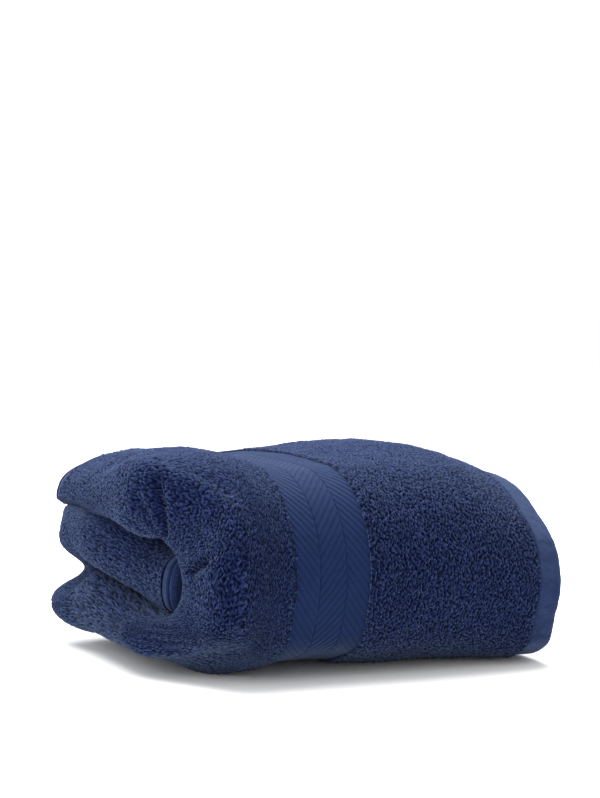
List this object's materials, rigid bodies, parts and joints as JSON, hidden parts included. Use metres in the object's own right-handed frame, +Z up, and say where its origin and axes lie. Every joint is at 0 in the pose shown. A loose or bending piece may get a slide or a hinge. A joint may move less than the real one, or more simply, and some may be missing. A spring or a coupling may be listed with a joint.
{
  "type": "folded bath towel",
  "caption": "Thick terry bath towel folded flat and then in thirds, with a dobby border, sewn hems and a top panel that lifts at the round front fold.",
  "frame": {"origin": "middle of the folded towel's footprint, on the surface it lies on", "axes": "+X towards the hemmed ends, along the towel's length; -Y towards the round front fold; +Z up through the stack"},
  "size_m": [0.35, 0.258, 0.1608],
  "materials": {
    "terry": "deep navy loop pile, matt, with a soft pale sheen at grazing angles",
    "dobby": "flat navy band with slanted ribs in three columns, slightly smoother and bluer than the pile",
    "hem": "plain fine weave, turned and stitched, slightly lighter than the pile"
  },
  "bodies": {
    "folded_stack": {"flap_side_hem_inner_bend": "hem", "flap_side_hem_inner_ply": "hem", "flap_side_hem_linking_bend": "hem", "flap_side_hem_outer_bend": "hem", "flap_side_hem_outer_ply": "hem", "flap_side_hem_second_ply": "hem", "flap_side_hem_third_ply": "hem", "stack_inner_doubled_fold": "terry", "stack_inner_ply_terry": "terry", "stack_linking_fold": "terry", "stack_outer_doubled_fold": "terry", "stack_outer_ply_border": "dobby", "stack_outer_ply_end_hem": "hem", "stack_outer_ply_end_terry": "terry", "stack_outer_ply_field_terry": "terry", "stack_second_ply_border": "dobby", "stack_second_ply_end_hem": "hem", "stack_second_ply_end_terry": "terry", "stack_second_ply_field_terry": "terry", "stack_third_ply_terry": "terry"},
    "top_panel": {"panel_inner_doubled_fold": "terry", "panel_inner_ply_terry": "terry", "panel_linking_fold": "terry", "panel_outer_doubled_fold": "terry", "panel_outer_ply_border": "dobby", "panel_outer_ply_end_hem": "hem", "panel_outer_ply_end_terry": "terry", "panel_outer_ply_field_terry": "terry", "panel_second_ply_border": "dobby", "panel_second_ply_end_hem": "hem", "panel_second_ply_end_terry": "terry", "panel_second_ply_field_terry": "terry", "panel_side_hem_inner_bend": "hem", "panel_side_hem_inner_ply": "hem", "panel_side_hem_linking_bend": "hem", "panel_side_hem_outer_bend": "hem", "panel_side_hem_outer_ply": "hem", "panel_side_hem_second_ply": "hem", "panel_side_hem_third_ply": "hem", "panel_third_ply_terry": "terry"}
  },
  "joints": [
    {"name": "top_panel_lift", "type": "hinge", "parent": "folded_stack", "child": "top_panel", "pos_m": [0, -0.04845, 0.1608], "axis": [1, 0, 0], "range_deg": [0, 45]}
  ]
}
